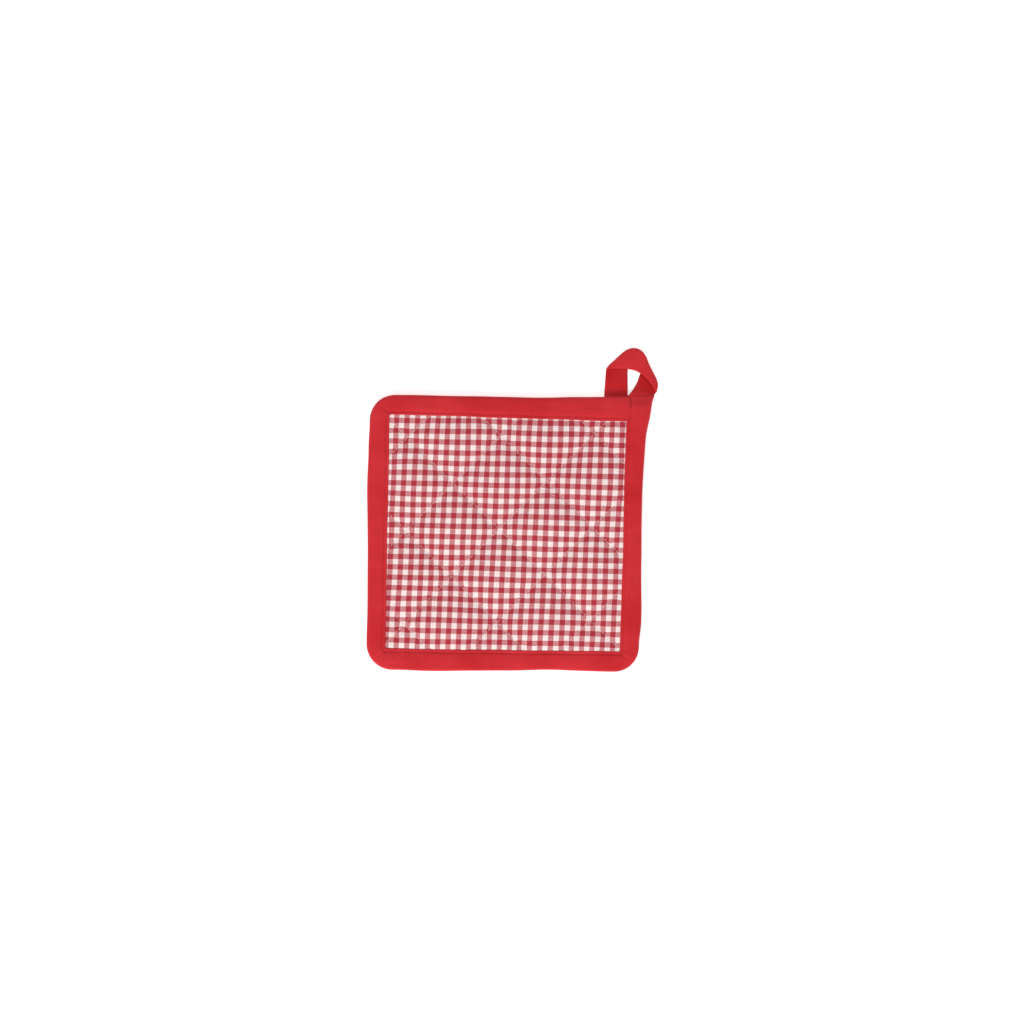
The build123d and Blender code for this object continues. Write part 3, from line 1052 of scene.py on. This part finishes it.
def red_cotton():
    """The binding tape: plain red cotton, a little paler where it is worn at its folds. The same wear
    value paints the loop's legs darker as painted shade and their foot lighter as painted light, and each
    yarn is darkened where it dips, as painted shade.
    """
    material, tree, shader = new_material("red_cotton_tape", *TAPE_FINISH)
    over, warp, weft, relief = plain_weave(tree, *TAPE_YARN_PITCHES)
    tone = choose(tree, over, each_yarn(tree, weft, 0.53), each_yarn(tree, warp, 700.29))
    wear_and_painted_shade = tree.nodes.new("ShaderNodeAttribute")
    wear_and_painted_shade.attribute_name = "wear_and_painted_shade"
    # Real wear and patchy fading, and on the loop's legs painted shade and painted light
    patchy_wear_and_painted_shade = calculate(tree, "MULTIPLY_ADD", noise(tree, 45.0, 3.0), PATCHINESS, wear_and_painted_shade.outputs["Fac"])
    fade_and_painted_shade = calculate(tree, "SUBTRACT", patchy_wear_and_painted_shade, PATCHINESS / 2)
    cloth_colour = mix_colours(tree, fade_and_painted_shade, RED_TAPE_FRESH_AND_SHADED, RED_TAPE_WORN)
    uneven = calculate(tree, "MULTIPLY_ADD", tone, TAPE_YARN_TONE, TAPE_DARKEST)
    # Painted shade: each yarn is darkened towards its low edges, where it dips under its neighbours
    shade = calculate(tree, "MULTIPLY_ADD", relief, TAPE_GROOVE_PAINTED_SHADE, uneven)
    set_shaded_colour(tree, shader, cloth_colour, shade)
    set_bump(tree, shader, relief, TAPE_BUMP)
    return material


def sewing_thread(name, colour):
    """Spun sewing thread, with its twist as fine slanting ridges."""
    material, tree, shader = new_material(name, *THREAD_FINISH)
    wave = tree.nodes.new("ShaderNodeTexWave")
    wave.bands_direction = "DIAGONAL"
    wave.inputs["Scale"].default_value = 900.0
    wave.inputs["Distortion"].default_value = 1.2
    tree.links.new(tree.nodes.new("ShaderNodeTexCoord").outputs["Object"], wave.inputs["Vector"])
    twist = wave.outputs["Fac"]
    # Painted shade: the low parts of the twist are darkened, as in the grooves between its ridges
    shade = calculate(tree, "MULTIPLY_ADD", twist, THREAD_TWIST_PAINTED_SHADE, THREAD_DARKEST)
    set_shaded_colour(tree, shader, colour, shade)
    set_bump(tree, shader, twist, THREAD_BUMP)
    return material


def wadding():
    """Off-white fibrous wadding."""
    material, tree, shader = new_material("cotton_wadding", *WADDING_FINISH)
    fibres = noise(tree, 1200.0, 5.0)
    clumps = noise(tree, 120.0, 2.0)
    uneven = calculate(tree, "MULTIPLY_ADD", clumps, WADDING_CLUMP_TONE, WADDING_DARKEST)
    # Painted shade: the fibre bump darkens the colour where it is low
    shade = calculate(tree, "MULTIPLY_ADD", fibres, WADDING_FIBRE_PAINTED_SHADE, uneven)
    set_shaded_colour(tree, shader, WADDING_WHITE, shade)
    set_bump(tree, shader, fibres, WADDING_BUMP)
    return material


def studio_floor():
    """A pale, matt studio floor."""
    material, tree, shader = new_material("studio_white", *FLOOR_FINISH)
    mottle = noise(tree, 6.0)
    tree.links.new(mix_colours(tree, mottle, *FLOOR_WHITES), shader.inputs["Base Color"])
    shader.inputs["Emission Color"].default_value = (1.0, 1.0, 1.0, 1.0)
    shader.inputs["Emission Strength"].default_value = FLOOR_GLOW
    return material


# ---------------- the pieces

FRONT_PUFF = 2.75
BACK_PUFF = 2.35
TAIL_TACKS_X = (74.4, 87.7)
TAIL_TACKS_Y = (87.5, 96.5)
CORNER_TACKS = [((91.6, 86.6), (101.4, 87.0))]

# Light and camera, in metres
WORLD_LIGHT = 0.55
FLOOR_GLOW = 0.35
LIGHTS = [("key", (-0.9, -2.6, 2.0), 1.4, 95.0), ("fill", (1.0, 0.8, 3.0), 2.2, 26.0)]
VIEW_CENTRE = (5.38, 15.35)
VIEW_WIDTH = 0.7448
CAMERA_RISE = 2.0
FLOOR_SIZE = 12.0
FLOOR_Z = -0.0002


def finish_piece(piece, material):
    """Give a piece its material."""
    piece.data.materials.clear()
    piece.data.materials.append(material)
    return piece


def bend_with_pad(piece):
    """Bake a piece's placement into its mesh."""
    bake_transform(piece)


def both_halves(name):
    """The CAD's two nodes for a piece that crosses the fold."""
    return [name + "_left", name + "_right"]


def build_faces(checks):
    """The front and back cloth. Returns them with their search trees."""
    faces = {}
    for side, name, lies_on, crest, phase in ((1, "front", "upper_wadding_layer", FRONT_PUFF, 0.8),
                                              (-1, "back", "lower_wadding_layer", BACK_PUFF, 3.9)):
        points, quads, places = puffed_face(side, crest, phase)
        piece = cloth_face(name + "_cloth", side, points, quads, places)
        finish_piece(piece, checks)
        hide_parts(*both_halves(name + "_panel"))
        faces[side] = (piece, surface_tree(piece))
    return faces


def build_wadding(faces):
    """The two wadding layers inside."""
    filling = wadding()
    for side, name in ((1, "upper_wadding"), (-1, "lower_wadding")):
        piece = wadding_layer(name + "_layer", side, faces[side][1])
        finish_piece(piece, filling)
        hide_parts(*both_halves(name))
        bend_with_pad(piece)


def build_seams(kind, rows, trees, thread):
    """The stitches of one kind of seam, front and back."""
    for side, thread_name in ((1, "top"), (-1, "bobbin")):
        piece = stitches(f"{kind}_{thread_name}_stitches", rows, trees[side], side)
        finish_piece(piece, thread)
        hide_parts(*both_halves(f"{kind}_{thread_name}_thread"))
        bend_with_pad(piece)


def build_binding(tape, thread):
    """The edge binding and the stitches of its seam, front and back."""
    piece, seam, length = edge_binding()
    finish_piece(piece, tape)
    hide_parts(*both_halves("edge_binding"))
    tree = surface_tree(piece)
    build_seams("binding", [seam], {1: tree, -1: tree}, thread)
    bend_with_pad(piece)
    return tree


def build_loop(tape, thread, binding_tree):
    """The hanging loop, the stitching along its edges, and the stitches that hold it to the pad."""
    piece, length, tracks = hanging_loop()
    finish_piece(piece, tape)
    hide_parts("hanging_loop", "loop_tail")
    tree = surface_tree(piece)
    points, faces = [], []
    for y in TAIL_TACKS_Y:
        sew(points, faces, np.array([(x, y) for x in TAIL_TACKS_X]), tree, -1)
    for row in CORNER_TACKS:
        sew(points, faces, np.array(row), binding_tree, 1)
    tacks = mesh_object("loop_tack_stitches", points, faces)
    finish_piece(tacks, thread)
    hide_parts("loop_tack_thread")
    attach(tacks, "right_half")
    seam = finish_piece(sew_track("loop_edge_stitches", tracks), thread)
    for bending in (piece, seam):
        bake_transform(bending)


def build_stage():
    """A pale floor just under the pad, soft studio light, and a camera straight above."""
    bpy.ops.mesh.primitive_plane_add(size=FLOOR_SIZE, location=(0, 0, FLOOR_Z))
    floor = bpy.context.object
    floor.name = "studio_floor"
    floor.data.materials.append(studio_floor())
    world = bpy.data.worlds.new("studio")
    world.use_nodes = True
    sky = world.node_tree.nodes["Background"]
    sky.inputs["Color"].default_value = (1.0, 1.0, 1.0, 1.0)
    sky.inputs["Strength"].default_value = WORLD_LIGHT
    bpy.context.scene.world = world
    for name, place, size, watts in LIGHTS:
        light = bpy.data.lights.new(name, "AREA")
        light.size = size
        light.energy = watts
        lamp = bpy.data.objects.new(name, light)
        lamp.location = place
        lamp.rotation_euler = (-Vector(place)).to_track_quat("-Z", "Y").to_euler()
        bpy.context.scene.collection.objects.link(lamp)
    lens = bpy.data.cameras.new("camera")
    lens.sensor_width = 36.0
    lens.lens = lens.sensor_width * CAMERA_RISE / VIEW_WIDTH
    camera = bpy.data.objects.new("camera", lens)
    camera.location = (VIEW_CENTRE[0] * MM, VIEW_CENTRE[1] * MM, CAMERA_RISE + EDGE_TOP * MM)
    bpy.context.scene.collection.objects.link(camera)
    bpy.context.scene.camera = camera
    bpy.context.scene.view_settings.view_transform = "Standard"


for leftover in [o for o in bpy.data.objects if o.name in ("Cube", "Light", "Camera")]:
    bpy.data.objects.remove(leftover)
build_stage()
red_tape = red_cotton()
red_thread = sewing_thread("red_thread", THREAD_RED)
quilted_faces = build_faces(gingham())
build_wadding(quilted_faces)
white_thread = sewing_thread("white_thread", THREAD_WHITE)
face_trees = {side: tree for side, (_, tree) in quilted_faces.items()}
build_seams("quilting", quilting_paths(), face_trees, white_thread)
binding_surface_tree = build_binding(red_tape, red_thread)
build_loop(red_tape, red_thread, binding_surface_tree)
for cloth, _ in quilted_faces.values():
    bend_with_pad(cloth)
